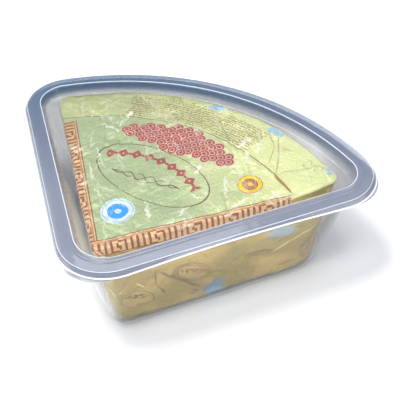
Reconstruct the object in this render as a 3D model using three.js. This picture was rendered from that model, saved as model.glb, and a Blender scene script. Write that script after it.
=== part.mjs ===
// A foil-wrapped gorgonzola wedge, an eighth of a wheel, in a clear quarter-round tub with a recessed lid.
// Millimetres, +Z up. The wedge's two straight sides run along +X (the front) and +Y (the left).
// Every outline is drawn from the square corner where the rim's two straight sides would meet, and the
// group at the end moves that corner so that the origin is under the middle of the pack.
import * as THREE from 'three';

// Driving sizes of the whole pack
const rimSide = 190; // straight side of the rim, from its square corner to the curved side
const rimHeight = 76.5; // floor to the top of the rim's outer edge
const bowCentre = -2; // centre of the curved side, in x and in y from the square corner
const rimApexRadius = 30.7; // round of the rim at the wedge's right angle
const rimTipRadius = 25.6; // round of the rim at the two tips

// Tub: a tapered thermoformed shell with a turned-down rim
const tubWall = 0.8;
const tubRimTop = rimHeight - 0.9; // the lid lies on this with a small gap
const tubMouth = { inset: 8.4, apex: 19, tip: 18 };
const tubFoot = { inset: 15, apex: 13, tip: 28 };
const tubFootRadius = 8; // round between the wall and the base
const tubMouthZ = tubRimTop - 2.6; // where the straight wall ends under the rim
const tubLip = { flat: 3, out: -1.4, drop: 3, apex: 24, tip: 21 }; // its corners reach out past the lid's

// Lid: a flat rim with a sloping lip outside and a recess inside
const lidWall = 0.6;
const lidLip = { out: -2.7, drop: 2.4 };
const lidBead = { inset: 5.2, width: 1, rise: 0.8 }; // step up to the inner half of the rim
const lidRecess = { mouth: 10.4, foot: 12.2, depth: 7, round: 0.8 };

// Wedge: an eighth of a wheel, wider at its foot than at its top because soft cheese slumps
const wedgeBase = tubWall + 0.3;
const wedgeTop = rimHeight - 8.4;
const wedgeCrown = { x: 16.9, y: 24.9, turn: -0.03, side: 153.4, bow: -12, apex: 5, tip: 12.5 };
const wedgeFoot = { x: 18.4, y: 17.6, turn: 0, side: 152.4, bow: -19.2, apex: 9, tip: 27 };
const wedgeSlump = 2.2; // above 1, the wall stays steep below and leans back near the top
const wedgeTopRound = 3.2;
const wedgeFootRound = 7;
const creaseDepth = 0.3; // of the foil's dents
const flapRise = 0.45; // of the folded foil over the layer below it

// Steps along each stretch of a ring, in order: apex, front, front tip, curved side, left tip, left
const shellSteps = [8, 1, 8, 20, 8, 1];
const wedgeSteps = [6, 22, 8, 26, 8, 22];

// The points of a rounded quarter disc, anticlockwise. Sides start at `inset`; the centre of the bow lies at
// (bow, bow). Stretches are arcs and straight lines, so every ring with the same steps matches point for point.
function quarterRing({ side, bow, inset, apex, tip }, z, steps) {
  const reach = Math.hypot(side - bow, bow) - inset;
  const tipY = inset + tip;
  const tipX = bow + Math.sqrt((reach - tip) ** 2 - (tipY - bow) ** 2);
  const lean = Math.atan2(tipY - bow, tipX - bow);
  const corner = inset + apex;
  const arc = (x, y, r, from, to) => new THREE.ArcCurve(x, y, r, from, to, false);
  const line = (a, b) => new THREE.LineCurve(new THREE.Vector2(...a), new THREE.Vector2(...b));
  const stretches = [
    arc(corner, corner, apex, Math.PI, 1.5 * Math.PI),
    line([corner, inset], [tipX, inset]),
    arc(tipX, tipY, tip, -Math.PI / 2, lean),
    arc(bow, bow, reach, lean, Math.PI / 2 - lean),
    arc(tipY, tipX, tip, Math.PI / 2 - lean, Math.PI),
    line([inset, tipX], [inset, corner]),
  ];
  const ring = [];
  stretches.forEach((curve, i) => {
    for (let k = 0; k < steps[i]; k++) {
      const p = curve.getPoint(k / steps[i]);
      ring.push(new THREE.Vector3(p.x, p.y, z));
    }
  });
  return ring;
}

// Joins rings of equal length into one closed skin, with a flat cap on the first and on the last.
function skin(rings) {
  const size = rings[0].length;
  const index = [];
  rings.slice(1).forEach((_, r) => {
    for (let k = 0; k < size; k++) {
      const a = r * size + k;
      const b = r * size + ((k + 1) % size);
      index.push(a, b, b + size, a, b + size, a + size);
    }
  });
  const cap = (ring, first, facingUp) => {
    const flat = ring.map((p) => new THREE.Vector2(p.x, p.y));
    for (const [a, b, c] of THREE.ShapeUtils.triangulateShape(flat, [])) {
      index.push(first + a, first + (facingUp ? b : c), first + (facingUp ? c : b));
    }
  };
  cap(rings[0], 0, false);
  cap(rings.at(-1), (rings.length - 1) * size, true);
  const geometry = new THREE.BufferGeometry().setFromPoints(rings.flat());
  geometry.setIndex(index);
  geometry.computeVertexNormals();
  return geometry;
}

// [inset, z] points of a round from one direction of travel to another, in degrees from the inset axis.
function round([inset, z], radius, from, to, steps = 4) {
  const points = [];
  for (let k = 0; k <= steps; k++) {
    const a = THREE.MathUtils.degToRad(from + ((to - from) * k) / steps);
    points.push([inset + radius * Math.cos(a), z + radius * Math.sin(a)]);
  }
  return points;
}

// The rim's outline taken in by `inset`, its corners shrinking with it.
function rimRing([inset, z], apexRadius = rimApexRadius, tipRadius = rimTipRadius) {
  const shape = {
    side: rimSide,
    bow: bowCentre,
    inset,
    apex: apexRadius - inset,
    tip: tipRadius - inset,
  };
  return quarterRing(shape, z, shellSteps);
}

// The tub's wall at height z: its inset and corners run evenly from foot to mouth. `skinIn` moves the
// ring in by that much, for the inner face and for the round at the foot.
function tubRing(z, skinIn) {
  const share = THREE.MathUtils.clamp((z - tubFootRadius) / (tubMouthZ - tubFootRadius), 0, 1);
  const mix = (key) => THREE.MathUtils.lerp(tubFoot[key], tubMouth[key], share);
  const shape = {
    side: rimSide,
    bow: bowCentre,
    inset: mix('inset') + skinIn,
    apex: mix('apex') - skinIn,
    tip: mix('tip') - skinIn,
  };
  return quarterRing(shape, z, shellSteps);
}

function tubGeometry() {
  const innerRadius = tubFootRadius - tubWall;
  const footAngles = [0, 22.5, 45, 67.5, 90].map(THREE.MathUtils.degToRad);
  const wallHeights = [tubFootRadius, 30, 52, tubMouthZ];
  const footRound = (radius, floor, skinIn) =>
    footAngles.map((a) => {
      const ring = tubRing(tubFootRadius, skinIn + radius * (1 - Math.cos(a)));
      return ring.map((p) => p.setZ(floor + radius * (1 - Math.sin(a))));
    });
  const outside = [
    ...footRound(tubFootRadius, 0, 0).reverse(),
    ...wallHeights.slice(1).map((z) => tubRing(z, 0)),
  ];
  const top = tubRimTop;
  const lipRing = (inset, z) => rimRing([inset, z], tubLip.apex, tubLip.tip);
  const rim = [
    rimRing([tubMouth.inset - 0.3, top - tubWall - 0.3]),
    rimRing([tubLip.flat + 0.3, top - tubWall]),
    lipRing(tubLip.out + 0.6, top - tubLip.drop - 0.6),
    lipRing(tubLip.out, top - tubLip.drop),
    rimRing([tubLip.flat, top]),
    rimRing([tubMouth.inset - 0.2, top]),
    rimRing([tubMouth.inset + 0.5, top - 0.3]),
    rimRing([tubMouth.inset + 0.8, top - 1]),
  ];
  const inside = [
    ...wallHeights.slice(1).reverse().map((z) => tubRing(z, tubWall)),
    ...footRound(innerRadius, tubWall, tubWall),
  ];
  return skin([...outside, ...rim, ...inside]);
}

function lidGeometry() {
  const top = rimHeight;
  const crest = top + lidBead.rise;
  const panel = top - lidRecess.depth;
  const { mouth, foot, round: r } = lidRecess;
  const upper = [
    [lidLip.out, top - lidLip.drop],
    [0, top],
    [lidBead.inset, top + 0.1],
    [lidBead.inset + lidBead.width, crest],
    ...round([mouth - r, crest - r], r, 90, 15),
    ...round([foot + r, panel + r], r, 195, 270),
  ];
  // The underside is the upper face moved in by the wall's thickness, square to each stretch.
  const under = upper.map(([inset, z], i) => {
    const [a, b] = [upper[Math.max(i - 1, 0)], upper[Math.min(i + 1, upper.length - 1)]];
    const along = new THREE.Vector2(b[0] - a[0], b[1] - a[1]).normalize();
    return [inset + along.y * lidWall, z - along.x * lidWall];
  });
  under[under.length - 1] = [foot + r, panel - lidWall];
  return skin([...under.reverse(), ...upper].map((point) => rimRing(point)));
}

// A wedge outline in the pack's frame: drawn at its own corner, then turned and moved into the tub.
function wedgeOutline({ x, y, turn, side, bow, apex, tip }) {
  const up = new THREE.Vector3(0, 0, 1);
  return quarterRing({ side, bow, inset: 0, apex, tip }, 0, wedgeSteps).map((p) =>
    p.applyAxisAngle(up, turn).add(new THREE.Vector3(x, y, 0)),
  );
}

// Dents and folds of the foil, in millimetres out of the plain wedge. `along` runs round the wedge from
// 0 to 1, and `height` from 0 at the foot to 1 at the top edge, then on to 2 at the middle of the top.
function foilRelief(point, along, height) {
  const { x, y, z } = point;
  const dents =
    Math.sin(x * 0.21 + y * 0.13 + z * 0.17) * 0.4 +
    Math.sin(x * 0.11 - y * 0.24 + z * 0.29 + 1.3) * 0.35 +
    Math.sin(x * 0.37 + y * 0.31 - z * 0.23 + 2.1) * 0.25;
  // On the front the upper layer ends on a slant that runs down to the right.
  const onFront = along > 0.08 && along < 0.34 && height < 1;
  const flapEdge = 0.95 - (along - 0.08) * 3;
  const flap = onFront && height > flapEdge ? flapRise : 0;
  return creaseDepth * dents + flap;
}

function wedgeGeometry() {
  const crown = wedgeOutline(wedgeCrown);
  const foot = wedgeOutline(wedgeFoot);
  const span = wedgeTop - wedgeBase;
  const size = crown.length;
  const middle = crown.reduce((sum, p) => sum.add(p), new THREE.Vector3()).divideScalar(size);
  // The plain wedge at height z: each point runs from the foot's outline to the crown's.
  const plain = (z) => {
    const share = (z - wedgeBase - wedgeFootRound) / (span - wedgeFootRound);
    const lean = THREE.MathUtils.clamp(share, 0, 1) ** wedgeSlump;
    return foot.map((p, k) => p.clone().lerp(crown[k], lean).setZ(z));
  };
  const outward = crown.map((p, k) => {
    const before = crown[(k + size - 1) % size];
    const after = crown[(k + 1) % size];
    return new THREE.Vector3(after.y - before.y, before.x - after.x, 0).normalize();
  });
  const rings = [];
  // Adds a ring taken in by `inset`, whose dents stand out at `tilt` degrees above level.
  const addRing = (z, inset, tilt, height, gain = 1) => {
    const a = THREE.MathUtils.degToRad(tilt);
    const ring = plain(z).map((p, k) => {
      p.addScaledVector(outward[k], -inset);
      const relief = gain * foilRelief(p, k / size, height);
      p.addScaledVector(outward[k], relief * Math.cos(a));
      return p.setZ(p.z + relief * Math.sin(a));
    });
    rings.push(ring);
  };
  for (const tilt of [-90, -60, -30]) {
    const a = THREE.MathUtils.degToRad(tilt);
    const z = wedgeBase + wedgeFootRound * (1 + Math.sin(a));
    addRing(z, wedgeFootRound * (1 - Math.cos(a)), tilt, 0, tilt > -90 ? 1 : 0);
  }
  const wallRings = 8;
  const wallLow = wedgeBase + wedgeFootRound;
  const wallHigh = wedgeTop - wedgeTopRound;
  for (let k = 0; k <= wallRings; k++) {
    const share = k / wallRings;
    addRing(THREE.MathUtils.lerp(wallLow, wallHigh, share), 0, 0, share);
  }
  for (const tilt of [30, 60, 90]) {
    const a = THREE.MathUtils.degToRad(tilt);
    const z = wallHigh + wedgeTopRound * Math.sin(a);
    addRing(z, wedgeTopRound * (1 - Math.cos(a)), tilt, 1);
  }
  // The top closes in towards its middle, ring by ring.
  const edge = plain(wedgeTop).map((p, k) => p.addScaledVector(outward[k], -wedgeTopRound));
  for (const share of [0.9, 0.78, 0.64, 0.5, 0.36, 0.22, 0.1]) {
    rings.push(
      edge.map((p, k) => {
        const q = middle.clone().setZ(wedgeTop).lerp(p, share);
        return q.setZ(wedgeTop + foilRelief(q, k / size, 2 - share));
      }),
    );
  }
  return skin(rings);
}

const clearPlastic = () =>
  new THREE.MeshStandardMaterial({
    color: 0xc3cfe0,
    roughness: 0.15,
    metalness: 0,
    transparent: true,
    opacity: 0.3,
  });
const printedFoil = new THREE.MeshStandardMaterial({ color: 0xc9cf8c, roughness: 0.35, metalness: 0.7 });

const tub = new THREE.Mesh(tubGeometry(), clearPlastic());
tub.name = 'tub';
const lid = new THREE.Mesh(lidGeometry(), clearPlastic());
lid.name = 'lid';
const wedge = new THREE.Mesh(wedgeGeometry(), printedFoil);
wedge.name = 'foil_wedge';

const pack = new THREE.Group();
pack.add(tub, lid, wedge);
const bounds = new THREE.Box3().setFromObject(pack);
const centre = bounds.getCenter(new THREE.Vector3());
pack.position.set(-centre.x, -centre.y, -bounds.min.z);

export default pack;
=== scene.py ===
import math

import bmesh
import bpy
from mathutils import Matrix, Vector, noise


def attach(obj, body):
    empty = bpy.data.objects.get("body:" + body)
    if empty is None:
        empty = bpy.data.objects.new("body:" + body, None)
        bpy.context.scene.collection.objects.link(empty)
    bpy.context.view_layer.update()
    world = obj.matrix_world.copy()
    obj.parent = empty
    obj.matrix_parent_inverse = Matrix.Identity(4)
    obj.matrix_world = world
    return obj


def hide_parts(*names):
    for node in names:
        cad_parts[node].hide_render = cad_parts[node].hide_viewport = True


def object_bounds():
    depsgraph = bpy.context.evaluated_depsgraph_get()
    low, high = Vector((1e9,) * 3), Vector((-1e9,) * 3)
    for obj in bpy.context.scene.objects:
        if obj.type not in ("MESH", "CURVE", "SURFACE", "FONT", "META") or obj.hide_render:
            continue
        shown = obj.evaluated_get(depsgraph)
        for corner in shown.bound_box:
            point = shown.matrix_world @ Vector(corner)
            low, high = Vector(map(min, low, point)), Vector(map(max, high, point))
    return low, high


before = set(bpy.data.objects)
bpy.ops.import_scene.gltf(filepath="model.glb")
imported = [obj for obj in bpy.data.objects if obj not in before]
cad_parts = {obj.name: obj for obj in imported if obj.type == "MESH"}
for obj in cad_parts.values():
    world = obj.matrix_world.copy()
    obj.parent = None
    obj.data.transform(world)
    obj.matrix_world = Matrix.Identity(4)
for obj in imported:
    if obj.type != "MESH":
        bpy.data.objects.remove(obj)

print("frame loaded")
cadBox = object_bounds()
mm = 0.001
noise.seed_set(1)  # so that the foil's creases are the same in each run

# The pack's own sizes, in mm. x and y run from the square corner of the rim, z from the floor.
pack = {
    "rimSide": 190,
    "bow": -2,  # centre of the curved side
    "height": 76.5,
    "rimApex": 30.7,
    "rimTip": 25.6,
    "lipOut": 2.7,  # how far the lid's lip reaches past the square corner's lines
    "warpMiddle": (95, 0),  # where the lips are lifted, and how far from it they end up sagging
    "warpReach": 60,
    "dentAt": (4, 17),
    "dentSize": 6,
    "smoothBelow": 40,  # degrees between faces of the sheets that are shaded as one
}
corner = Vector(cadBox[0]) + Vector((pack["lipOut"], pack["lipOut"], 0)) * mm


def sheet(name, slots):
    # An empty mesh object in edit mode, ready for rings.
    bpy.ops.object.select_all(action="DESELECT")
    bpy.ops.mesh.primitive_plane_add(size=mm, location=(0, 0, 0))
    piece = bpy.context.object
    piece.name = name
    for _ in range(slots):
        piece.data.materials.append(None)
    bpy.ops.object.mode_set(mode="EDIT")
    bpy.ops.mesh.select_mode(type="VERT")
    bpy.ops.mesh.select_all(action="SELECT")
    bpy.ops.mesh.delete(type="VERT")
    return piece


def ramp(value, start, end):
    # 0 at the start, 1 at the end, and no more or less beyond them.
    return min(max((value - start) / (end - start), 0), 1)


def drawRing(ring, z, steps):
    # Drawn like a pen line round the quarter: corner, front, tip, bow, tip, left side.
    bow = ring["bow"]
    inset = ring["inset"]
    reach = math.hypot(ring["side"] - bow, bow) - inset
    tipY = inset + ring["tip"]
    tipX = bow + math.sqrt((reach - ring["tip"]) ** 2 - (tipY - bow) ** 2)
    lean = math.atan2(tipY - bow, tipX - bow)
    start = inset + ring["apex"]
    foot = corner + Vector((ring.get("x", 0), ring.get("y", 0), 0)) * mm

    def spin(x, y, turn, count):
        centre = foot + Vector((x, y, z)) * mm
        bpy.ops.mesh.spin(steps=count, angle=turn, center=centre, axis=(0, 0, -1))

    def run(dx, dy, count):
        for _ in range(count):
            step = Vector((dx, dy, 0)) * mm / count
            bpy.ops.mesh.extrude_region_move(TRANSFORM_OT_translate={"value": step})

    bpy.ops.mesh.select_all(action="DESELECT")
    bpy.ops.mesh.primitive_plane_add(size=mm, location=foot + Vector((inset, start, z)) * mm)
    bpy.ops.mesh.merge(type="CENTER")
    spin(start, start, math.pi / 2, steps["apex"])
    run(tipX - start, 0, steps["side"])
    spin(tipX, tipY, lean + math.pi / 2, steps["tip"])
    spin(bow, bow, math.pi / 2 - 2 * lean, steps["bow"])
    spin(tipY, tipX, lean + math.pi / 2, steps["tip"])
    run(0, (start - tipX) * (1 - 1 / steps["side"]), steps["side"] - 1)


def ringLength(steps):
    return steps["apex"] + 2 * steps["side"] + 2 * steps["tip"] + steps["bow"]


def ringNumbers(size, rings):
    return [k for ring in rings for k in range(ring * size, (ring + 1) * size)]


def selectVerts(piece, numbers):
    bm = bmesh.from_edit_mesh(piece.data)
    bm.verts.ensure_lookup_table()
    bpy.ops.mesh.select_all(action="DESELECT")
    for number in numbers:
        bm.verts[number].select = True
    bm.select_flush_mode()
    bmesh.update_edit_mesh(piece.data)


def loft(piece, rings, steps, capFirst, capLast, paintedHighlightStrips=()):
    # Draws each (ring, z), closes it, and bridges it to the one before. The painted highlight strips
    # take the second material, a white one.
    size = ringLength(steps)
    for number, (ring, z) in enumerate(rings):
        drawRing(ring, z, steps)
        selectVerts(piece, [number * size, (number + 1) * size - 1])
        bpy.ops.mesh.edge_face_add()
        if ring.get("turn"):
            selectVerts(piece, ringNumbers(size, [number]))
            pivot = corner + Vector((ring["x"], ring["y"], z)) * mm
            # With no window the operator turns the other way.
            bpy.ops.transform.rotate(value=-ring["turn"], orient_axis="Z", center_override=pivot)
    for number in range(len(rings) - 1):
        selectVerts(piece, ringNumbers(size, [number, number + 1]))
        bpy.ops.mesh.bridge_edge_loops()
    for number, wanted in ((0, capFirst), (len(rings) - 1, capLast)):
        if wanted:
            selectVerts(piece, ringNumbers(size, [number]))
            bpy.ops.mesh.edge_face_add()
    for strip in paintedHighlightStrips:
        selectVerts(piece, ringNumbers(size, [strip, strip + 1]))
        piece.active_material_index = 1
        bpy.ops.object.material_slot_assign()
    bpy.ops.mesh.select_all(action="SELECT")
    bpy.ops.mesh.normals_make_consistent(inside=False)


def applyAll(piece):
    bpy.ops.object.mode_set(mode="OBJECT")
    bpy.context.view_layer.objects.active = piece
    for modifier in list(piece.modifiers):
        bpy.ops.object.modifier_apply(modifier=modifier.name)


def dress(piece, node, *materials):
    for number, material in enumerate(materials):
        piece.data.materials[number] = material
    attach(piece, "root")
    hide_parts(node)


def rimRing(inset, apex=None, tip=None):
    return {
        "side": pack["rimSide"],
        "bow": pack["bow"],
        "inset": inset,
        "apex": (apex or pack["rimApex"]) - inset,
        "tip": (tip or pack["rimTip"]) - inset,
    }


def arcPoints(inset, z, radius, fromDeg, toDeg, count):
    # Points of a round in the section, as (inset, z).
    angles = [math.radians(fromDeg + (toDeg - fromDeg) * k / count) for k in range(count + 1)]
    return [(inset + radius * math.cos(a), z + radius * math.sin(a)) for a in angles]


def roundRings(ringAt, z, radius, side, angles):
    # Rings round a fold of the skin that starts at z, on the upper (1) or lower (-1) side of it.
    turns = [math.radians(degrees) for degrees in angles]
    places = [(z + side * radius * math.sin(a), radius * (1 - math.cos(a))) for a in turns]
    return [(ringAt(height, inward), height) for height, inward in places]


shellSteps = {"apex": 14, "side": 10, "tip": 14, "bow": 48}


def linear(hexColour):
    # "#rrggbb" as seen on screen, turned to the linear colour that a shader takes.
    values = [int(hexColour[k:k + 2], 16) / 255 for k in (1, 3, 5)]
    return [v / 12.92 if v <= 0.04045 else ((v + 0.055) / 1.055) ** 2.4 for v in values] + [1]


def addNode(tree, kind, inputs=(), **settings):
    # The kind may end in its operation. The inputs are listed in their order, or given by name.
    kind, _, operation = kind.partition(" ")
    made = tree.nodes.new("ShaderNode" + kind)
    if operation:
        made.operation = operation
    for name, value in settings.items():
        setattr(made, name, value)
    for name, value in inputs.items() if isinstance(inputs, dict) else enumerate(inputs):
        if isinstance(value, bpy.types.Node):
            value = next(socket for socket in value.outputs if socket.enabled)
        if isinstance(value, bpy.types.NodeSocket):
            tree.links.new(value, made.inputs[name])
        else:
            made.inputs[name].default_value = value
    return made


def newMaterial(name):
    material = bpy.data.materials.new(name)
    material.use_nodes = True
    material.node_tree.nodes.clear()
    return material, material.node_tree


# Clear plastic

clearPlastic = {
    # edge, edgeRoughness and edgeCover: the white film of the painted highlights on the sheets' edges
    "edge": "#f4f7fb",
    "roughness": 0.1,
    "ior": 1.57,
    "headOn": 0.035,  # share of the light that one face reflects, seen straight on
    "edgeRoughness": 0.25,
    "edgeCover": 0.75,
    "ripple": 14,  # mm, the slow waves that thermoforming leaves
    "rippleDepth": 0.25,
    "backwards": (0.35, 0.94, 0),  # heading from the front to the curved side
    # Hazy ends: a heading, and the mm along it from and to which the haze thickens; at the square corner
    # this haze is painted shade. The square corner's heading leans down, because the corner leans out with
    # the walls.
    "corner": ((-0.707, -0.707, -0.233), 102.5, 105.5),
    "tip": ((0.94, -0.34, 0), 84, 104),
}


def petSheet(name, haze):
    # PET film, thermoformed: clear where it is flat and thin, and hazier at the rim, where it is thick and
    # scuffed, at two corners and towards the curved side. The tint of this haze, greyer at the front and
    # darker and bluer towards the back, and the haze at the square corner and towards the back are painted
    # shade and painted reflection. What shows is mostly gloss on its edges.
    look = clearPlastic
    material, tree = newMaterial(name)
    place = addNode(tree, "TexCoord").outputs["Object"]
    axes = addNode(tree, "SeparateXYZ", [place])
    across = addNode(tree, "VectorMath DOT_PRODUCT", [place, look["backwards"]])
    towardsBack = addNode(tree, "MapRange", {
        "Value": across,
        "From Min": haze["front"] * mm,
        "From Max": haze["back"] * mm,
    })
    upwards = addNode(tree, "MapRange", {
        "Value": axes.outputs["Z"],
        "From Min": haze["riseFrom"] * mm,
        "From Max": haze["riseTo"] * mm,
    })
    walls, high = (addNode(tree, "MapRange", {
        "Value": towardsBack,
        "To Min": haze[level + "Front"],
        "To Max": haze[level + "Back"],
    }) for level in ("low", "rim"))
    for end in ("corner", "tip"):
        heading, start, full = look[end]
        added = addNode(tree, "MapRange", {
            "Value": addNode(tree, "VectorMath DOT_PRODUCT", [place, heading]),
            "From Min": start * mm,
            "From Max": full * mm,
            "To Max": haze[end],
        })
        walls = addNode(tree, "Math ADD", [walls, added])
    # The haze's amount and tint: at the rim partly real, and at the square corner and towards the back
    # painted shade and painted reflection.
    thick = addNode(tree, "MapRange", {"Value": upwards, "To Min": walls, "To Max": high})
    shadeAndReflectionTint = addNode(tree, "MixRGB", [towardsBack, linear(haze["tintFront"]), linear(haze["tintBack"])])
    waves = addNode(tree, "TexNoise", {"Vector": place, "Scale": 1 / (look["ripple"] * mm), "Detail": 2})
    bump = addNode(tree, "Bump", {"Height": waves, "Distance": look["rippleDepth"] * mm, "Strength": 1})
    skin = {"Roughness": look["roughness"], "Normal": bump}
    film = addNode(tree, "BsdfPrincipled", {"Base Color": shadeAndReflectionTint, "IOR": look["ior"], "Alpha": thick, **skin})
    gloss = addNode(tree, "BsdfAnisotropic", {"Color": (1, 1, 1, 1), **skin})
    # Little is reflected head on and all of it at a grazing angle, the same from inside the sheet.
    facing = addNode(tree, "LayerWeight", {"Blend": 0.5, "Normal": bump})
    steep = addNode(tree, "Math POWER", [facing.outputs["Facing"], 5])
    edge = addNode(tree, "MapRange", {"Value": steep, "To Min": look["headOn"], "To Max": 1})
    mixed = addNode(tree, "MixShader", [edge, film, gloss])
    addNode(tree, "OutputMaterial", [mixed])
    return material


def paintedEdgeHighlight(name):
    # A white film, a painted highlight: the sheet's cut edge and the strips along its edges that would
    # catch light show as thin white lines.
    material, tree = newMaterial(name)
    rim = addNode(tree, "BsdfPrincipled", {
        "Base Color": linear(clearPlastic["edge"]),
        "Roughness": clearPlastic["edgeRoughness"],
        "Alpha": clearPlastic["edgeCover"],
    })
    addNode(tree, "OutputMaterial", [rim])
    return material


def warpLip(piece, rings, warp):
    # The lip lifts in the middle of the front side, sags towards its ends and is dented by the corner.
    bm = bmesh.from_edit_mesh(piece.data)
    bm.verts.ensure_lookup_table()
    for number in ringNumbers(ringLength(shellSteps), rings):
        place = bm.verts[number].co
        p = ((place - corner) / mm).xy
        away = ramp((p - Vector(pack["warpMiddle"])).length, 0, pack["warpReach"])
        lift = warp["middle"] + (warp["ends"] - warp["middle"]) * away ** 2
        dent = math.exp(-((p - Vector(pack["dentAt"])).length / pack["dentSize"]) ** 2)
        place.z += (lift + warp["dent"] * dent) * mm
    bmesh.update_edit_mesh(piece.data)


def faceDown(piece):
    # True if the largest face, the flat one, looks down.
    bm = bmesh.from_edit_mesh(piece.data)
    return max(bm.faces, key=lambda f: f.calc_area()).normal.z < 0


def giveWall(piece, thickness):
    # The sheet grows inwards from the drawn skin, and its cut edge takes the second material, the white of
    # the painted highlights.
    wall = piece.modifiers.new("wall", "SOLIDIFY")
    wall.thickness = thickness * mm
    wall.offset = -1
    wall.use_even_offset = True
    wall.material_offset_rim = 1
    applyAll(piece)
    bpy.ops.object.shade_smooth_by_angle(angle=math.radians(pack["smoothBelow"]))
    return piece


# Lid

lid = {
    "wall": 0.6,
    "lipDrop": 2.4,
    "lipRoll": (0.7, 0.35),  # in and up from the lip's edge, where the sheet turns
    "edgeRound": 0.9,  # of the rim's outer top edge
    "bead": 5.2,  # inset of the step up to the rim's inner half
    "beadWidth": 1,
    "beadRise": 0.8,
    "beadRound": 0.3,
    "mouth": 10.4,  # inset of the recess at its top and at its panel
    "foot": 12.2,
    "panelFrom": 16.2,
    "depth": 7,
    "mouthRound": 1.7,
    "footRound": 1.2,
    "paintedHighlightStrips": (0, 3, 11),  # painted highlights: white strips on the lip, the outer edge of the rim and the edge of the recess, where the sheet would catch light
    "warp": {"middle": 1.9, "ends": -0.4, "dent": 0},  # mm that the lip's edge is up or down
    "haze": {
        "riseFrom": 70.3,  # mm above the floor, from where it gets hazier
        "riseTo": 74,
        "front": -60,  # mm along the way from the front to the curved side
        "back": 75,
        "lowFront": 0.02,
        "lowBack": 0.02,
        "corner": 0,
        "tip": 0.1,
        "rimFront": 0.4,
        "rimBack": 0.6,
        "tintFront": "#878da0",  # tint of the haze: painted shade and painted reflection, greyer at the front, darker and bluer at the back
        "tintBack": "#4a6684",
    },
}


def makeLid():
    top = pack["height"]
    crest = top + lid["beadRise"]
    panel = top - lid["depth"]
    upper = lid["mouthRound"]
    lower = lid["footRound"]
    out = lid["edgeRound"]
    section = [
        (-pack["lipOut"], top - lid["lipDrop"]),
        (-pack["lipOut"] + lid["lipRoll"][0], top - lid["lipDrop"] + lid["lipRoll"][1]),
    ]
    section += arcPoints(out * 0.45, top - out, out, 140, 90, 3)
    step = lid["beadRound"]
    beadEnd = lid["bead"] + lid["beadWidth"]
    section += [(lid["bead"], top + 0.1), (lid["bead"] + step, top + 0.2)]
    section += [(beadEnd - step, crest - 0.1), (beadEnd, crest)]
    section += arcPoints(lid["mouth"] - upper, crest - upper, upper, 90, 15, 6)
    section += arcPoints(lid["foot"] + lower, panel + lower, lower, 195, 270, 5)
    section += [(lid["panelFrom"], panel)]
    piece = sheet("lidSheet", 2)
    loft(piece, [(rimRing(inset), z) for inset, z in section], shellSteps, False, True, lid["paintedHighlightStrips"])
    if faceDown(piece):
        bpy.ops.mesh.flip_normals()
    warpLip(piece, [0, 1], lid["warp"])
    return giveWall(piece, lid["wall"])


# Tub

tub = {
    "wall": 0.8,
    "rimTop": 75.6,
    "mouthDrop": 2.6,  # from the rim's top to where the straight wall ends
    "mouth": {"inset": 8.4, "apex": 19, "tip": 18},
    "foot": {"inset": 15, "apex": 13, "tip": 28},
    "footRound": 8,
    "footAngles": (90, 75, 60, 45, 31, 22, 11, 0),  # degrees round the foot, closer at the painted highlight strip
    "wallHeights": (18, 30, 42, 54, 66, 73),
    "mouthRoll": ((0.1, 0.7), (0.5, 0.2), (1.2, 0)),  # out from the wall, and down from the rim
    "lip": {"flat": 3.3, "apex": 24, "tip": 21},
    "lipRoll": ((0, 3.1), (-0.8, 3.6)),  # inset, and down from the rim's top
    # a white strip on the foot's round, a painted highlight
    "paintedHighlightStrips": (4,),
    "warp": {"middle": 1.2, "ends": -0.6, "dent": -3},
    "haze": {
        "riseFrom": 70,
        "riseTo": 74.5,
        "front": -52,
        "back": 20,
        # haze on the back wall, with the dark tint below: painted shade in the gap behind the wedge
        "lowFront": 0.03,
        "lowBack": 0.4,
        "corner": 0.45,
        "tip": 0.4,
        "rimFront": 0.8,
        "rimBack": 0.8,
        # tints of the haze: painted shade and painted reflection, darkest on the back wall
        "tintFront": "#999ca3",
        "tintBack": "#3a423a",
    },
}


def tubRing(z, inward):
    # The wall's ring at height z: inset and corners run evenly from foot to mouth.
    share = ramp(z, tub["footRound"], tub["rimTop"] - tub["mouthDrop"])
    mix = {key: tub["foot"][key] + (tub["mouth"][key] - tub["foot"][key]) * share for key in tub["foot"]}
    return {
        "side": pack["rimSide"],
        "bow": pack["bow"],
        "inset": mix["inset"] + inward,
        "apex": mix["apex"] - inward,
        "tip": mix["tip"] - inward,
    }


def makeTub():
    under = tub["rimTop"] - tub["wall"]
    rings = roundRings(tubRing, tub["footRound"], tub["footRound"], -1, tub["footAngles"])
    rings += [(tubRing(z, 0), z) for z in tub["wallHeights"]]
    lip = tub["lip"]
    rings += [(rimRing(tub["mouth"]["inset"] - out), under - down) for out, down in tub["mouthRoll"]]
    rings.append((rimRing(lip["flat"]), under))
    for inset, down in tub["lipRoll"]:
        rings.append((rimRing(inset, lip["apex"], lip["tip"]), tub["rimTop"] - down))
    piece = sheet("tubSheet", 2)
    loft(piece, rings, shellSteps, True, False, tub["paintedHighlightStrips"])
    if not faceDown(piece):
        bpy.ops.mesh.flip_normals()
    warpLip(piece, [len(rings) - 2, len(rings) - 1], tub["warp"])
    return giveWall(piece, tub["wall"])


# Foil-wrapped wedge

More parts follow.
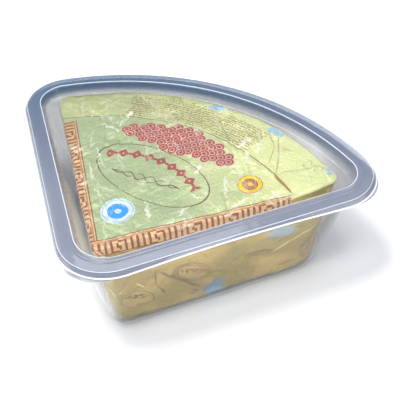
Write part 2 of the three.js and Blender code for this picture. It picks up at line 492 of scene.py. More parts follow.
wedge = {
    "base": 1.1,
    "top": 68.1,
    "crown": {"x": 16.9, "y": 24.9, "turn": -0.03, "side": 153.4, "bow": -12, "apex": 4, "tip": 4.5},
    "foot": {"x": 18.4, "y": 17.6, "turn": 0, "side": 152.4, "bow": -19.2, "apex": 9, "tip": 27},
    "slump": 2.2,
    "topRound": 1.1,
    "leastRound": 0.6,  # of the upright edge, where the top's round draws it in
    "footRound": 7,
    "grain": 1.0,  # mm, size of the mesh that carries the creases
    "sink": 0.3,  # mm, how far the crumpled foil lies in from the plain wedge
    "facets": ((26, 1.1, 0.3), (11, 0.5, 1.9), (5, 0.15, 1.1)),  # size and depth in mm, heading
    "pleats": ((4.6, 0.85, 1.45), (5.6, 0.7, 2.3), (3.2, 0.5, 0.2)),  # width and depth in mm, heading
    "pleatPatch": 24,  # mm, size of the places that have pleats and of those that have none
    "most": 0.5,  # mm, how far a crease may stand out before it meets the pack
    "clearance": 0.5,  # mm between the foil and the tub's wall
    "seat": 4,  # mm of height over which the creases fade out, so that it lies flat on the tub
    "facing": 0.8,  # least part of a normal that looks up on the top, or forward on the front
    "smoothFrom": 138,  # mm along x, from where the top is pulled smooth
    "smoothShare": 0.4,
    "foldReach": 12,  # mm, over which the step beside a fold fades out
    "grooveWidth": 0.8,
    "drawnIn": 4.2,  # mm, how far the front's right end lies back at the top
    "endX": (132, 164),  # mm, from where to where it comes to that
    "endY": (42, 24),
    "endZ": (40, 64),
}

# Folds where one layer of foil ends on another. Lines are in mm from the square corner, (x, y) on the
# top and (x, z) on the front. Each has a groove and a step up on its left side.
folds = {
    "top": [
        ([(121.6, 108.4), (120.1, 79.8), (125.5, 68.1), (131.8, 53.7), (136.2, 43.1), (137.7, 26)],
         0.5, -0.6),
        ([(152.5, 78), (143.8, 57.7), (137.2, 45.3)], 0.35, -0.3),
        ([(148, 83), (145.2, 66.4), (134.8, 55.1)], 0.35, -0.2),
        ([(137, 45), (150, 42), (163, 44)], 0.3, -0.2),
        ([(100, 43), (104, 49), (108, 55), (113, 57)], -0.7, 0.4),
        ([(89, 29), (98, 33), (108, 30)], -0.7, 0.3),
        ([(120, 29), (128, 31), (135, 28)], -0.6, 0.3),
        ([(124, 66), (130, 69), (136, 71)], -0.6, 0.3),
        ([(44, 30), (60, 33), (73, 29)], -0.5, 0.3),
        ([(30, 102), (28.3, 88), (29, 75)], -0.6, 0.2),
        ([(32.3, 74), (29, 62), (27.7, 52)], -0.6, 0.3),
        ([(56, 57), (53.5, 46), (52.6, 36)], -0.6, 0.3),
        ([(48, 136), (52, 128), (56, 122)], -0.6, 0.2),
        ([(57, 130), (62, 139), (70, 144)], -0.6, 0.3),
        ([(69.5, 154), (69.2, 142)], -0.5, 0.2),
        ([(40, 140), (47, 151), (60, 157)], -0.6, 0.2),
    ],
    "front": [
        ([(49.1, 41.9), (54.7, 37), (63, 29.3), (69.8, 21.9), (76.8, 13.1)], 0.8, 0.6),
        ([(51, 23.6), (47.4, 30.9), (47.3, 36.3), (49.1, 41.9)], 0.6, 0.3),
        ([(122.9, 28.4), (133.9, 32), (135.8, 34.5), (155.5, 39.9)], -0.7, 0.4),
        ([(124, 4.5), (132.5, 7.6)], -0.7, 0.2),
        ([(20.4, 35.9), (22.8, 30.1)], -0.5, 0.2),
        ([(35.8, 37.5), (40.3, 32.2)], -0.6, 0.2),
        ([(79.8, 27.2), (94.9, 20.9), (95.2, 14.1), (86, 18.5)], 0.5, 0.3),
        ([(76.8, 13.1), (79.2, 18.8), (85.9, 17.8), (89.7, 12.2), (89.7, 2.5)], 0.5, 0.3),
        ([(96, 30), (110, 38), (117, 33)], 0.4, 0.3),
        ([(21, 12), (34, 9), (47, 10)], -0.5, 0.2),
        ([(60, 9), (74, 12), (88, 8)], -0.5, 0.2),
    ],
}

wedgeSteps = {"apex": 6, "side": 24, "tip": 8, "bow": 30}


def wedgeRing(z, inset):
    low = wedge["base"] + wedge["footRound"]
    share = ramp(z, low, wedge["top"]) ** wedge["slump"]
    ring = {key: wedge["foot"][key] + (wedge["crown"][key] - wedge["foot"][key]) * share
            for key in wedge["foot"]}
    ring["apex"] = max(ring["apex"] - inset, wedge["leastRound"])
    ring["tip"] -= inset
    ring["inset"] = inset
    return ring


def facetRise(p, size, heading):
    # Flats between sharp crests: how much farther the second nearest of scattered points is.
    q = Matrix.Rotation(heading, 3, "Z") @ p / size
    q.x *= 0.6
    q += 0.3 * noise.noise_vector(q * 1.3)
    near = noise.voronoi(q)[0]
    return 0.3 - min(near[1] - near[0], 0.6)


def pleatRise(p, width, heading):
    # Sharp-crested waves drawn out along one heading, in some places only.
    q = Matrix.Rotation(-heading, 3, "Z") @ p / width
    q.x *= 0.12
    q += 0.35 * noise.noise_vector(q * 0.6)
    where = max(noise.noise(p / wedge["pleatPatch"] + Vector((3, 8, 1))) + 0.3, 0)
    return where * (1 - 3 * abs(noise.noise(q)))


def foldRise(place, line, depth, step):
    nearest = math.inf
    side = 0
    for start, end in zip(line, line[1:]):
        start = Vector(start)
        run = Vector(end) - start
        away = place - start - run * ramp((place - start).dot(run), 0, run.length_squared)
        if away.length < nearest:
            nearest = away.length
            side = run.normalized().cross(away)
    if nearest > wedge["foldReach"]:
        return 0
    groove = -depth * math.exp(-(nearest / wedge["grooveWidth"]) ** 2)
    return groove + step * ramp(side, 0, 1) * (1 - nearest / wedge["foldReach"])


def crumple(p, normal):
    # Height of the foil over the plain wedge at p, both in mm.
    rise = -wedge["sink"]
    for size, depth, heading in wedge["facets"]:
        rise += depth * facetRise(p, size, heading)
    for width, depth, heading in wedge["pleats"]:
        rise += depth * pleatRise(p, width, heading)
    if normal.z > wedge["facing"] and p.x > wedge["smoothFrom"]:
        rise = -wedge["sink"] + (rise + wedge["sink"]) * wedge["smoothShare"]
    if normal.z > wedge["facing"]:
        rise += sum(foldRise(Vector((p.x, p.y)), *fold) for fold in folds["top"])
    elif normal.y < -wedge["facing"]:
        rise += sum(foldRise(Vector((p.x, p.z)), *fold) for fold in folds["front"])
    return min(rise, wedge["most"])


def keepInside(p):
    # Moves a point to where it clears the tub's curved wall and its two tips.
    ring = tubRing(p.z, 0)
    slack = tub["wall"] + wedge["clearance"]
    bow = pack["bow"]
    reach = pack["rimSide"] - bow - ring["inset"]
    near = ring["inset"] + ring["tip"]
    far = bow + math.sqrt((reach - ring["tip"]) ** 2 - (near - bow) ** 2)
    if p.x > far and p.y < near:
        middle, most = Vector((far, near)), ring["tip"] - slack
    elif p.x < near and p.y > far:
        middle, most = Vector((near, far)), ring["tip"] - slack
    else:
        middle, most = Vector((bow, bow)), reach - slack
    out = p.xy - middle
    if out.length > most:
        out = out.normalized() * most
    return Vector((middle.x + out.x, middle.y + out.y, p.z))


def makeWedge():
    low = wedge["base"] + wedge["footRound"]
    high = wedge["top"] - wedge["topRound"]
    rings = roundRings(wedgeRing, low, wedge["footRound"], -1, (90, 60, 30, 0))
    heights = [low + (high - low) * k / 8 for k in range(1, 9)]
    rings += [(wedgeRing(z, 0), z) for z in heights]
    rings += roundRings(wedgeRing, high, wedge["topRound"], 1, (22.5, 45, 67.5, 90))
    piece = sheet("foilWrap", 1)
    loft(piece, rings, wedgeSteps, True, True)
    remesh = piece.modifiers.new("grain", "REMESH")
    remesh.mode = "VOXEL"
    remesh.voxel_size = wedge["grain"] * mm * 1
    applyAll(piece)
    places = []
    for vert in piece.data.vertices:
        p = (vert.co - corner) / mm
        rise = crumple(p, vert.normal) * ramp(p.z, wedge["base"], wedge["base"] + wedge["seat"])
        atEnd = ramp(p.x, *wedge["endX"]) * ramp(p.y, *wedge["endY"]) * ramp(p.z, *wedge["endZ"])
        p += vert.normal * rise + Vector((0, wedge["drawnIn"] * atEnd, 0))
        places.append(corner + keepInside(p) * mm)
    for vert, place in zip(piece.data.vertices, places):
        vert.co = place
    bpy.ops.object.shade_smooth()
    return piece


# Foil and its print

foil = {
    "green": "#b5c392",
    "back": "#c6cc92",
    "lime": "#eaeeac",
    "side": "#d0b05c",
    "sideDark": "#a08a34",
    "brown": "#64371f",
    "tan": "#e6b482",
    "crimson": "#b03446",
    "blush": "#e6c8a8",
    "rust": "#b4762e",
    "russet": "#80452a",
    "blue": "#06a0ee",
    "skyBlue": "#94c6f0",
    "white": "#e6f0f4",
    "gold": "#fad830",
    "clay": "#c4835c",
    "umber": "#8a6a35",
    # pale metal, of the cracked ink and of the painted highlights on the top
    "silver": "#fafae6",
    "steel": "#5f87a8",
    # pale cream of the left side, a painted light and painted reflection in the narrow gap by the tub's
    # wall
    "sideLeftPaintedLight": "#e2d6ae",
    "glint": "#f6e49a",
    "metal": 0.5,
    "roughness": 0.27,
    # Sizes are in mm. Grains and patches of noise are the number of them in a mm.
    "line": 0.55,
    "speck": 0.75,
    "unevenGrain": 0.3,
    "unevenBy": 8,
    "edge": (1.9, 1.3),  # below the top, where the side's colours give way to the top's
    "wrapBelow": 1.2,  # the top, from where the borders run down the sides
    "sideFacing": (23, 27),  # x and y up to which a point is on the left side or on the front
    "sidePatch": 0.035,
    "darkAt": (64, 18),  # the front gets darker towards the square corner
    "patch": 0.04,
    "limeAt": (72, 128),
    "limeDrift": 14,
    "crackCell": 0.11,  # in the net of creases that crack the ink
    "crackWave": 0.12,
    "crackBend": 9,
    "crackWidth": 0.06,  # share of a cell
    "drawn": (1, 0.45, 0.7),  # the net and the streaks are drawn out along one heading
    "drawnTurn": (0, 0, 1.2),
    "wornPatch": 0.07,
    "wornNoise": (0.46, 0.6),  # from where to where the ink gives way to cracks, and how much they
    "crackCover": (0.08, 0.5),  # show on the sides and on the top
    "wrinkle": 0.5,  # the finest wrinkles, and their height
    "wrinkleDepth": 0.6,
    "wrinkleStrength": 0.75,
}

# The quarter-round label on the top, in mm from the rim's square corner
label = {
    "corner": (21.7, 32),  # where the inner lines of the two borders meet
    "turn": -0.07,
    "length": 115,  # of each border
    "border": 11.5,  # width, with the part that goes over the edge
    "keyCell": 22,
    "keyPitch": 3.4,
    "keyLine": 1.428,
    "keyShift": 0.8,  # of the pattern from the border's middle
    "keyRows": (-10.9, -2.4),  # from the inner line outwards, as the lines' places and widths are
    "keyLines": ((-0.3, 0.7), (-1.9, 0.4), (-11.2, 0.6)),
    "arcCentre": (-5, 10),
    "arcRadius": 144.3,
    "arcSpan": (6.5, 84),  # degrees
    "arcSwell": (36, 14),  # degrees over which the line thickens towards the front, and to what
    "arcHalf": 0.42,
    "oval": ((64.4, 73.9), (42, 21.3), math.radians(-54.3)),  # centre, size and turn
    "scales": {
        "arc": 130,
        "middle": 42.5,  # degrees
        "length": 90,
        "height": 23,
        "radius": 3.6,
        "printed": ((0, 1.37), (1.87, 3.22)),  # the eye and the ring of each scale
    },
    "beads": {"centre": (24.5, 45), "radius": 61.5, "from": 4, "to": 73, "cell": 9, "size": 4,
              "hole": 0.88, "dot": 1.1},
    "flourish": {"from": (42.3, 88.2), "turn": math.radians(-44.6), "length": 48, "height": 2.8, "wave": 16,
                 "halfLines": (0.5, 0.36)},
    "badge": {"centre": (37.5, 50.5), "radius": 10.2},
    "seal": {"centre": (118, 41.7), "radius": 7.8},
    "dashes": {"from": 146, "to": 168, "span": (25, 62), "row": 2, "tall": 1.24, "grain": 1.2, "patch": 20},
}


def ink(tree, under, mask, colour, cover=1.0):
    # Lays one of the foil's colours over what is under it, where the mask is 1.
    laid = addNode(tree, "Math MULTIPLY", [mask, cover])
    return addNode(tree, "MixRGB", [laid, under, linear(foil[colour])])


def both(tree, *masks):
    joined = masks[0]
    for mask in masks[1:]:
        joined = addNode(tree, "Math MULTIPLY", [joined, mask])
    return joined


def between(tree, value, low, high):
    middle = (low + high) / 2
    return addNode(tree, "Math COMPARE", [value, middle, (high - low) / 2])


def placed(tree, flat, centre, turn=0.0, size=(1, 1)):
    # The place as seen from a centre, turned, and measured in the size given.
    return addNode(tree, "Mapping", {
        "Vector": flat,
        "Location": (*centre, 0),
        "Rotation": (0, 0, turn),
        "Scale": (*size, 1),
    }, vector_type="TEXTURE")


def reachOf(tree, flat, centre, size, turn=0.0):
    # 1 on the edge of an oval, less inside it.
    return addNode(tree, "VectorMath LENGTH", [placed(tree, flat, centre, turn, size)])


def polar(tree, flat, centre):
    # Angle in degrees and radius in mm about a centre.
    local = placed(tree, flat, centre)
    parts = addNode(tree, "SeparateXYZ", [local])
    angle = addNode(tree, "Math ARCTAN2", [parts.outputs["Y"], parts.outputs["X"]])
    degrees = addNode(tree, "Math DEGREES", [angle])
    radius = addNode(tree, "VectorMath LENGTH", [local])
    return degrees, radius


def cellPlace(tree, value, cell):
    # Distance from the middle of the cell that the value falls in.
    wrapped = addNode(tree, "Math FLOORED_MODULO", [value, cell])
    return addNode(tree, "Math SUBTRACT", [wrapped, cell / 2])


def borderInk(tree, along, across, ground):
    # A running key pattern of square spirals between two lines, printed brown on tan.
    width, pitch, cell = label["border"], label["keyPitch"], label["keyCell"]
    inBand = both(tree, between(tree, across, -width, 0), between(tree, along, -width, label["length"]))
    ground = ink(tree, ground, inBand, "tan", 0.85)
    x = cellPlace(tree, along, cell)
    y = addNode(tree, "Math ADD", [across, width / 2 + label["keyShift"]])
    # Moving one half of nested squares by half a step joins them into a spiral.
    half = addNode(tree, "Math GREATER_THAN", [x, 0])
    step = addNode(tree, "Math MULTIPLY_ADD", [half, pitch / 2, y])
    sizeX, sizeY = (addNode(tree, "Math ABSOLUTE", [part]) for part in (x, step))
    nest = addNode(tree, "Math MAXIMUM", [sizeX, sizeY])
    wrapped = addNode(tree, "Math FLOORED_MODULO", [nest, pitch])
    thin = addNode(tree, "Math LESS_THAN", [wrapped, label["keyLine"]])
    keyed = between(tree, across, *label["keyRows"])
    ground = ink(tree, ground, both(tree, inBand, keyed, thin), "russet", 0.9)
    for edge, thick in label["keyLines"]:
        line = between(tree, across, edge - thick / 2, edge + thick / 2)
        ground = ink(tree, ground, both(tree, inBand, line), "russet", 0.9)
    return ground


def scaleInk(tree, place, offset, ground):
    # One layer of round scales. The offset is from the nearest scale's centre, and only scales whose
    # centre is inside the band's lens shape are printed.
    look = label["scales"]
    centre = addNode(tree, "VectorMath SUBTRACT", [place, offset])
    parts = addNode(tree, "SeparateXYZ", [centre])
    share = addNode(tree, "Math DIVIDE", [parts.outputs["X"], look["length"] / 2])
    square = addNode(tree, "Math MULTIPLY", [share, share])
    limit = addNode(tree, "MapRange", {"Value": square, "To Min": look["height"] / 2, "To Max": 0})
    away = addNode(tree, "Math ABSOLUTE", [parts.outputs["Y"]])
    kept = addNode(tree, "Math LESS_THAN", [away, limit])
    reach = addNode(tree, "VectorMath LENGTH", [offset])
    disc = addNode(tree, "Math LESS_THAN", [reach, look["radius"]])
    ground = ink(tree, ground, both(tree, kept, disc), "blush")
    for limits in look["printed"]:
        ground = ink(tree, ground, both(tree, kept, between(tree, reach, *limits)), "crimson", 0.92)
    return ground


def scalesInk(tree, flat, ground):
    # A lens-shaped band of overlapping round scales, bent along the label's arc.
    look = label["scales"]
    degrees, radius = polar(tree, flat, label["arcCentre"])
    offMiddle = addNode(tree, "Math SUBTRACT", [degrees, look["middle"]])
    along = addNode(tree, "Math MULTIPLY", [offMiddle, math.radians(1) * look["arc"]])
    across = addNode(tree, "Math SUBTRACT", [radius, look["arc"]])
    place = addNode(tree, "CombineXYZ", [along, across])
    size = look["radius"]
    row = addNode(tree, "Math DIVIDE", [across, size])
    number = addNode(tree, "Math FLOOR", [row])
    odd = addNode(tree, "Math FLOORED_MODULO", [number, 2])
    shifted = addNode(tree, "Math MULTIPLY_ADD", [odd, size, along])
    over = addNode(tree, "Math FLOORED_MODULO", [across, size])
    under = addNode(tree, "Math SUBTRACT", [over, size])
    aside = addNode(tree, "Math ADD", [shifted, size])
    behind = addNode(tree, "CombineXYZ", [cellPlace(tree, aside, 2 * size), under])
    before = addNode(tree, "CombineXYZ", [cellPlace(tree, shifted, 2 * size), over])
    ground = scaleInk(tree, place, behind, ground)
    return scaleInk(tree, place, before, ground)


def beadsInk(tree, flat, ground):
    # A row of lozenges on an arc, each with a dot after it.
    look = label["beads"]
    degrees, radius = polar(tree, flat, look["centre"])
    within = between(tree, degrees, look["from"], look["to"])
    along = addNode(tree, "Math MULTIPLY", [degrees, math.radians(1) * look["radius"]])
    x = cellPlace(tree, along, look["cell"])
    y = addNode(tree, "Math SUBTRACT", [radius, look["radius"]])
    sizeX, sizeY = (addNode(tree, "Math ABSOLUTE", [part]) for part in (x, y))
    total = addNode(tree, "Math ADD", [sizeX, sizeY])
    lozenge = addNode(tree, "Math LESS_THAN", [total, look["size"]])
    hole = addNode(tree, "Math GREATER_THAN", [total, look["hole"]])
    ground = ink(tree, ground, both(tree, within, lozenge, hole), "crimson", 0.9)
    dotX = addNode(tree, "Math SUBTRACT", [sizeX, look["cell"] / 2])
    spot = addNode(tree, "CombineXYZ", [dotX, y])
    far = addNode(tree, "VectorMath LENGTH", [spot])
    dot = addNode(tree, "Math LESS_THAN", [far, look["dot"]])
    return ink(tree, ground, both(tree, within, dot), "crimson", 0.9)


def flourishInk(tree, flat, ground):
    # Two pen waves twined round each other, swelling in their middle.
    look = label["flourish"]
    local = placed(tree, flat, look["from"], look["turn"])
    parts = addNode(tree, "SeparateXYZ", [local])
    x, y = parts.outputs["X"], parts.outputs["Y"]
    within = between(tree, x, 0, look["length"])
    phase = addNode(tree, "Math MULTIPLY", [x, math.tau / look["wave"]])
    wave = addNode(tree, "Math SINE", [phase])
    swellPhase = addNode(tree, "Math MULTIPLY", [x, math.pi / look["length"]])
    swell = addNode(tree, "Math SINE", [swellPhase])
    height = addNode(tree, "Math MULTIPLY", [wave, swell])
    for sign, half in zip((1, -1), look["halfLines"]):
        gap = addNode(tree, "Math MULTIPLY_ADD", [height, sign * look["height"], y])
        ground = ink(tree, ground, both(tree, within, between(tree, gap, -half, half)), "brown", 0.8)
    return ground


def discsInk(tree, flat, ground, look, layers):
    # Discs on one centre, the largest first: each is (share of the radius, colour).
    reach = reachOf(tree, flat, look["centre"], (look["radius"], look["radius"]))
    for share, colour in layers:
        inside = addNode(tree, "Math LESS_THAN", [reach, share])
        ground = ink(tree, ground, inside, colour, 0.95)
    return ground


def dashesInk(tree, flat, rough, ground):
    # Broken rows of specks beyond the label.
    look = label["dashes"]
    radius = polar(tree, flat, label["arcCentre"])[1]
    degreesOff, radiusOff = polar(tree, rough, label["arcCentre"])
    inArc = between(tree, radiusOff, look["from"], look["to"])
    within = both(tree, inArc, between(tree, degreesOff, *look["span"]))
    row = addNode(tree, "Math FLOORED_MODULO", [radius, look["row"]])
    inRow = addNode(tree, "Math LESS_THAN", [row, look["tall"]])
    speck = addNode(tree, "TexNoise", {"Vector": flat, "Scale": 1 / look["grain"], "Detail": 2})
    dark = addNode(tree, "Math GREATER_THAN", [speck, 0.48])
    drift = addNode(tree, "TexNoise", {"Vector": flat, "Scale": 1 / look["patch"], "Detail": 1})
    patch = addNode(tree, "MapRange", {"Value": drift, "From Min": 0.25, "From Max": 0.42})
    return ink(tree, ground, both(tree, within, inRow, dark, patch), "umber", 0.85)


def strokesInk(tree, flat, ground, strokes, colour, cover):
    # Tapered strokes: (from, to, mm wide in their middle).
    for start, end, width in strokes:
        run = Vector(end) - Vector(start)
        middle = (Vector(start) + Vector(end)) / 2
        size = (run.length / 2, width / 2)
        reach = reachOf(tree, flat, middle, size, math.atan2(run.y, run.x))
        inside = addNode(tree, "MapRange", {"Value": reach, "From Min": 1, "From Max": 0.7})
        ground = ink(tree, ground, inside, colour, cover)
    return ground


def ringsInk(tree, flat, ground, rings, colour, cover):
    # Thin ovals: (centre, size, turn).
    for centre, size, turn in rings:
        reach = reachOf(tree, flat, centre, size, turn)
        half = foil["line"] / 2 / min(size)
        ground = ink(tree, ground, between(tree, reach, 1 - half, 1 + half), colour, cover)
    return ground


def unevenPlace(tree, flat):
    # The flat place moved a little, for marks with uneven outlines
    drift = addNode(tree, "TexNoise", {"Vector": flat, "Scale": foil["unevenGrain"], "Detail": 3})
    middle = addNode(tree, "VectorMath SUBTRACT", [drift.outputs["Color"], (0.5, 0.5, 0.5)])
    most = foil["unevenBy"]
    shift = addNode(tree, "VectorMath MULTIPLY", [middle, (most, most, 0)])
    return addNode(tree, "VectorMath ADD", [flat, shift])


def topPrint(tree, flat, ground):
    rough = unevenPlace(tree, flat)
    ground = dashesInk(tree, flat, rough, ground)
    # The label's arc is a thin printed line. Where the sheet is folded under it the line thickens, a
    # painted shade of the fold's groove.
    degrees, radius = polar(tree, flat, label["arcCentre"])
    off = addNode(tree, "Math SUBTRACT", [radius, label["arcRadius"]])
    gap = addNode(tree, "Math ABSOLUTE", [off])
    thin, thickest = label["arcSwell"]
    thick = addNode(tree, "MapRange", {
        "Value": degrees,
        "From Min": thin,
        "From Max": thickest,
        "To Min": foil["line"] / 2,
        "To Max": label["arcHalf"],
    })
    arc = addNode(tree, "Math LESS_THAN", [gap, thick])
    arc = both(tree, arc, between(tree, degrees, *label["arcSpan"]))
    ground = ink(tree, ground, arc, "brown", 0.85)
    ground = scalesInk(tree, flat, ground)
    ground = ringsInk(tree, flat, ground, [label["oval"]], "brown", 0.85)
    ground = beadsInk(tree, flat, ground)
    ground = flourishInk(tree, flat, ground)
    blues = [(1, "white"), (0.93, "skyBlue"), (0.86, "white"), (0.62, "blue")]
    ground = discsInk(tree, flat, ground, label["badge"], blues + [(0.2, "white")])
    golds = [(1, "clay"), (0.93, "gold"), (0.6, "brown"), (0.54, "clay")]
    ground = discsInk(tree, flat, ground, label["seal"], golds + [(0.2, "gold")])
    blues = [((118, 126), (131, 116), 5), ((149, 88), (155, 74), 7), ((166, 37), (168, 30), 4.4)]
    ground = strokesInk(tree, rough, ground, blues, "skyBlue", 0.8)
    # Painted highlights, pale streaks that stand for light caught on the creases, and painted shade along
    # the folds
    paintedHighlights = [((100, 39), (107, 54), 2.8), ((122.5, 60), (127.5, 71), 2.6), ((124, 77), (136, 83), 2.8),
            ((101, 27), (114, 33), 2), ((122, 26), (135, 30), 2.2), ((132, 66), (139, 76), 2.2),
            ((55, 127), (71, 143), 1.8), ((46, 137), (55, 121), 1.5), ((52.5, 36), (55.5, 54), 1.8),
            ((29, 80), (29.5, 100), 1.6), ((67, 31), (78, 39), 2.2), ((32, 61), (28, 75), 1.6),
            ((80, 50), (86, 40), 1.6), ((90, 62), (96, 72), 1.6), ((38, 112), (36, 98), 1.4)]
    ground = strokesInk(tree, rough, ground, paintedHighlights, "silver", 0.8)
    shades = [((152.5, 78), (144, 58), 1.1), ((145, 60), (136, 44), 1), ((148, 84), (145.5, 66), 0.9),
              ((145.5, 68), (135, 54), 0.9), ((136, 46), (161, 40), 0.8), ((122, 110), (119.8, 80), 1.2),
              ((149, 67), (154, 59), 1), ((148, 63), (152, 62), 0.8), ((112, 99), (119, 68), 0.8)]
    ground = strokesInk(tree, flat, ground, shades, "umber", 0.5)
    ground = strokesInk(tree, flat, ground, [((134, 45), (138.5, 25), 2.6)], "rust", 0.8)
    loops = [((158, 44), (3.6, 2.2), 0.6), ((163, 39), (2.6, 1.8), -0.5)]
    return ringsInk(tree, rough, ground, loops, "brown", 0.45)


def frontPrint(tree, front, ground):
    # Marks where the sheet folds down over the front: darker and blue patches, ovals and short rows.
    rough = unevenPlace(tree, front)
    for start, end, width, colour, cover in (
        ((12, 36), (52, 42), 18, "sideDark", 0.8),
        ((19, 44), (22, 6), 12, "sideDark", 0.85),
        ((40, 21), (62, 7), 13, "sideDark", 0.7),
        ((77, 28), (98, 18), 10, "sideDark", 0.85),
        ((94, 28), (96, 11), 6, "sideDark", 0.85),
        ((136, 66), (172, 66), 9, "sideDark", 0.9),
        ((74, 12), (92, 15.5), 9, "steel", 0.85),
        ((76, 9), (93, 5), 10, "skyBlue", 0.65),
        ((118, 45), (141, 43), 10, "skyBlue", 0.5),
    ):
        ground = strokesInk(tree, rough, ground, [(start, end, width)], colour, cover)
    ovals = [((34.8, 22.8), (10.2, 7.2), -0.3), ((71, 32), (12, 7.5), -0.45),
             ((71, 32), (10.3, 5.9), -0.45), ((150, 20), (7, 10), -0.2), ((150, 20), (5.4, 8.2), -0.2)]
    ground = ringsInk(tree, front, ground, ovals, "brown", 0.75)
    rows = [((35, 25.6), (8, 2), -0.25), ((36.4, 17.6), (3.2, 1), -0.25), ((72, 33), (9, 2), -0.4),
            ((70.5, 14), (3.4, 2.6), 0.3), ((114, 31), (9.5, 2.2), -0.15), ((133, 13.3), (6, 1.6), -0.1),
            ((150, 20), (3, 6), -0.3), ((51, 24), (1.2, 2.4), 0.3), ((47, 3.4), (13, 0.9), -0.22)]
    speck = addNode(tree, "TexNoise", {"Vector": front, "Scale": foil["speck"], "Detail": 1})
    dark = addNode(tree, "Math GREATER_THAN", [speck, 0.49])
    for centre, size, turn in rows:
        reach = reachOf(tree, front, centre, size, turn)
        inside = addNode(tree, "Math LESS_THAN", [reach, 1])
        ground = ink(tree, ground, both(tree, inside, dark), "brown", 0.85)
    # Shade under the folded edges, and light on the sharp ones
    shades = [((48, 43.5), (78, 12), 2), ((49.3, 43), (47, 30), 1.1), ((47.2, 32), (51.5, 22.5), 1)]
    ground = strokesInk(tree, front, ground, shades, "brown", 0.7)
    lights = [((122, 28), (136.5, 34.5), 1.5), ((134, 33.5), (158, 41), 1.5), ((123, 4), (133.5, 8), 2.6),
              ((35.5, 38), (40.8, 31.6), 1.2), ((20, 36.5), (23, 29.6), 1), ((51, 9.4), (54, 4.8), 0.9),
              ((90, 8), (127, 2.2), 1), ((24, 31.8), (30.5, 36), 0.8)]
    return strokesInk(tree, front, ground, lights, "glint", 0.8)


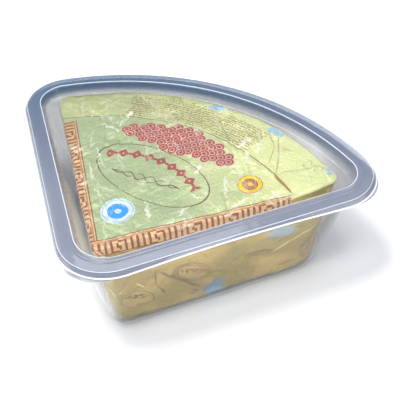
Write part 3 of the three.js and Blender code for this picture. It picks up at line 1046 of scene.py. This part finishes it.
def printedFoil():
    # Aluminium foil 12 microns thick, gravure printed with a see-through green lacquer: a soft metal
    # sheen broken up by creases, under inks that are a little duller than the lacquer.
    material, tree = newMaterial("gravure printed aluminium foil")
    coord = addNode(tree, "TexCoord")
    # From metres in the part's frame to mm from the rim's square corner
    place = addNode(tree, "Mapping", {
        "Vector": coord.outputs["Object"],
        "Location": tuple(-corner / mm),
        "Scale": (1 / mm, 1 / mm, 1 / mm),
    })
    axes = addNode(tree, "SeparateXYZ", [place])
    x, y, z = (axes.outputs[name] for name in "XYZ")
    flat = addNode(tree, "CombineXYZ", [x, y])
    front = addNode(tree, "CombineXYZ", [x, z])
    low, high = (wedge["top"] - down for down in foil["edge"])
    onTop = addNode(tree, "MapRange", {"Value": z, "From Min": low, "From Max": high})

    sideDrift = addNode(tree, "TexNoise", {"Vector": place, "Scale": foil["sidePatch"], "Detail": 3})
    sideTone = addNode(tree, "MapRange", {"Value": sideDrift, "From Min": 0.4, "From Max": 0.62})
    low, high = foil["darkAt"]
    nearCorner = addNode(tree, "MapRange", {"Value": x, "From Min": low, "From Max": high, "To Max": 0.7})
    sideTone = addNode(tree, "Math ADD", [sideTone, nearCorner], use_clamp=True)
    side = ink(tree, linear(foil["side"]), sideTone, "sideDark")
    facesLeft, facesFront = (
        addNode(tree, "Math LESS_THAN", [value, limit])
        for value, limit in zip((x, y), foil["sideFacing"]))
    # The left side, seen only in the narrow gap by the tub's wall, is painted paler: painted light and
    # painted reflection where little light reaches.
    side = ink(tree, side, facesLeft, "sideLeftPaintedLight")
    printed = frontPrint(tree, front, side)
    side = addNode(tree, "MixRGB", [facesFront, side, printed])

    # The lacquer is duller beyond the label at the back, and runs to lime at the right end.
    radius = polar(tree, flat, label["arcCentre"])[1]
    beyond = addNode(tree, "Math GREATER_THAN", [radius, label["arcRadius"]])
    upper = ink(tree, linear(foil["green"]), beyond, "back")
    patches = addNode(tree, "TexNoise", {"Vector": place, "Scale": foil["patch"], "Detail": 3})
    drift = addNode(tree, "MapRange", {
        "Value": patches,
        "From Min": 0.3,
        "From Max": 0.7,
        "To Min": -foil["limeDrift"],
        "To Max": foil["limeDrift"],
    })
    leftToRight = addNode(tree, "Math ADD", [x, drift])
    low, high = foil["limeAt"]
    tone = addNode(tree, "MapRange", {"Value": leftToRight, "From Min": low, "From Max": high})
    upper = ink(tree, upper, tone, "lime")
    upper = topPrint(tree, flat, upper)
    ground = addNode(tree, "MixRGB", [onTop, side, upper])

    # The borders run on over the edge: below the top, height counts as distance outwards.
    fall = addNode(tree, "Math SUBTRACT", [z, wedge["top"] - foil["wrapBelow"]])
    drop = addNode(tree, "Math MINIMUM", [fall, 0])
    wrapX = addNode(tree, "Math MULTIPLY_ADD", [drop, facesLeft, x])
    wrapY = addNode(tree, "Math MULTIPLY_ADD", [drop, facesFront, y])
    unwrapped = addNode(tree, "CombineXYZ", [wrapX, wrapY])
    framed = placed(tree, unwrapped, label["corner"], label["turn"])
    edges = addNode(tree, "SeparateXYZ", [framed])
    ground = borderInk(tree, edges.outputs["Y"], edges.outputs["X"], ground)
    ground = borderInk(tree, edges.outputs["X"], edges.outputs["Y"], ground)

    # Sharp creases crack the ink and show the metal beneath; the pale net also stands in for light caught
    # on the creases, partly a painted highlight.
    bent = addNode(tree, "TexNoise", {"Vector": place, "Scale": foil["crackWave"], "Detail": 2})
    shift = addNode(tree, "VectorMath SCALE", {0: bent.outputs["Color"], "Scale": foil["crackBend"]})
    moved = addNode(tree, "VectorMath ADD", [place, shift])
    turn = foil["drawnTurn"]
    drawn = addNode(tree, "Mapping", {"Vector": moved, "Rotation": turn, "Scale": foil["drawn"]})
    net = addNode(tree, "TexVoronoi", {
        "Vector": drawn,
        "Scale": foil["crackCell"],
    }, feature="DISTANCE_TO_EDGE")
    away = net.outputs["Distance"]
    crack = addNode(tree, "MapRange", {"Value": away, "From Min": foil["crackWidth"], "From Max": 0})
    worn = addNode(tree, "TexNoise", {"Vector": place, "Scale": foil["wornPatch"], "Detail": 4})
    low, high = foil["wornNoise"]
    where = addNode(tree, "MapRange", {"Value": worn, "From Min": low, "From Max": high})
    onSides, above = foil["crackCover"]
    share = addNode(tree, "MapRange", {"Value": onTop, "To Min": onSides, "To Max": above})
    ground = ink(tree, ground, both(tree, crack, where, share), "silver")

    fine = addNode(tree, "TexNoise", {"Vector": place, "Scale": foil["wrinkle"], "Detail": 4})
    streaks = addNode(tree, "TexNoise", {"Vector": drawn, "Scale": foil["wrinkle"], "Detail": 3})
    ridge = addNode(tree, "Math SUBTRACT", [streaks, 0.5])
    sharp = addNode(tree, "Math ABSOLUTE", [ridge])
    relief = addNode(tree, "Math MULTIPLY_ADD", [sharp, -1.6, fine])
    bump = addNode(tree, "Bump", {
        "Height": relief,
        "Distance": foil["wrinkleDepth"] * mm,
        "Strength": foil["wrinkleStrength"],
    })
    shader = addNode(tree, "BsdfPrincipled", {
        "Base Color": ground,
        "Metallic": foil["metal"],
        "Roughness": foil["roughness"],
        "Normal": bump,
    })
    addNode(tree, "OutputMaterial", [shader])
    return material


# Floor, light and camera

studio = {
    "floor": "#f4f4f4",
    "zenith": "#f1f4fa",
    "horizon": "#8ea6c6",
    "skyRise": (0.1, 0.8),  # sine of the height from which to which horizon gives way to zenith
    "skyStrength": 0.58,
    "keyPower": 8.5,  # throws the shadow, and isn't seen in gloss, so that it washes out no panel
    "keySize": 0.3,
    "softPower": 7.5,  # large, and seen in gloss
    "softSize": 1.1,
    "fillPower": 3,
    "fillSize": 0.9,
    "key": (-0.25, 0.02, 1.05),  # above, a little to the left
    "soft": (-0.25, 0.02, 1.05),
    "fill": (0.5, -0.7, 0.6),
}


def makeStudio():
    bpy.ops.object.select_all(action="DESELECT")
    bpy.ops.mesh.primitive_plane_add(size=6, location=(0, 0, 0))
    floor = bpy.context.object
    floor.name = "floor"
    material, tree = newMaterial("matt white paper")
    paper = addNode(tree, "BsdfPrincipled", {"Base Color": linear(studio["floor"]), "Roughness": 0.9})
    addNode(tree, "OutputMaterial", [paper])
    floor.data.materials.append(material)
    # A soft room: pale overhead, darker and bluer low down
    world = bpy.data.worlds.new("soft room")
    world.use_nodes = True
    tree = world.node_tree
    tree.nodes.clear()
    towards = addNode(tree, "TexCoord").outputs["Generated"]
    height = addNode(tree, "SeparateXYZ", [towards]).outputs["Z"]
    low, high = studio["skyRise"]
    rise = addNode(tree, "MapRange", {"Value": height, "From Min": low, "From Max": high})
    tone = addNode(tree, "MixRGB", [rise, linear(studio["horizon"]), linear(studio["zenith"])])
    room = addNode(tree, "Background", {"Color": tone, "Strength": studio["skyStrength"]})
    addNode(tree, "OutputWorld", [room])
    bpy.context.scene.world = world
    for name in ("key", "soft", "fill"):
        bpy.ops.object.light_add(type="AREA", location=studio[name])
        lamp = bpy.context.object
        lamp.name = name
        lamp.data.energy = studio[name + "Power"]
        lamp.data.size = studio[name + "Size"]
        lamp.visible_glossy = name != "key"
        lamp.rotation_euler = (-Vector(studio[name])).to_track_quat("-Z", "Y").to_euler()


# The camera, fitted to the photo's rim, recess, foot and wedge
camera = {
    "place": (-69.5, -292.6, 321.5),  # mm, in the part's frame
    "right": (0.942146, -0.331373, -0.050528),
    "up": (0.270936, 0.664058, 0.696865),
    "lens": 53.51,
    "shiftX": -0.0375,
    "shiftY": -0.0047,
}


def makeCamera():
    right = Vector(camera["right"])
    up = Vector(camera["up"])
    turn = Matrix((right, up, right.cross(up))).transposed()
    data = bpy.data.cameras.new("photo")
    data.lens = camera["lens"]
    data.sensor_width = 36
    data.shift_x = camera["shiftX"]
    data.shift_y = camera["shiftY"]
    data.clip_start = 0.01
    eye = bpy.data.objects.new("photo", data)
    eye.matrix_world = Matrix.Translation(Vector(camera["place"]) * mm) @ turn.to_4x4()
    bpy.context.collection.objects.link(eye)
    bpy.context.scene.camera = eye


makeCamera()
makeStudio()
print("studio ready")
lidPiece = makeLid()
dress(lidPiece, "lid", petSheet("thermoformed PET lid", lid["haze"]), paintedEdgeHighlight("painted highlight on the lid edges"))
print("lid made")
tubPiece = makeTub()
dress(tubPiece, "tub", petSheet("thermoformed PET tub", tub["haze"]), paintedEdgeHighlight("painted highlight on the tub edges"))
print("tub made")
wedgePiece = makeWedge()
dress(wedgePiece, "foil_wedge", printedFoil())
print("foil wedge made,", len(wedgePiece.data.polygons), "faces")

bpy.context.scene.view_settings.view_transform = "Standard"
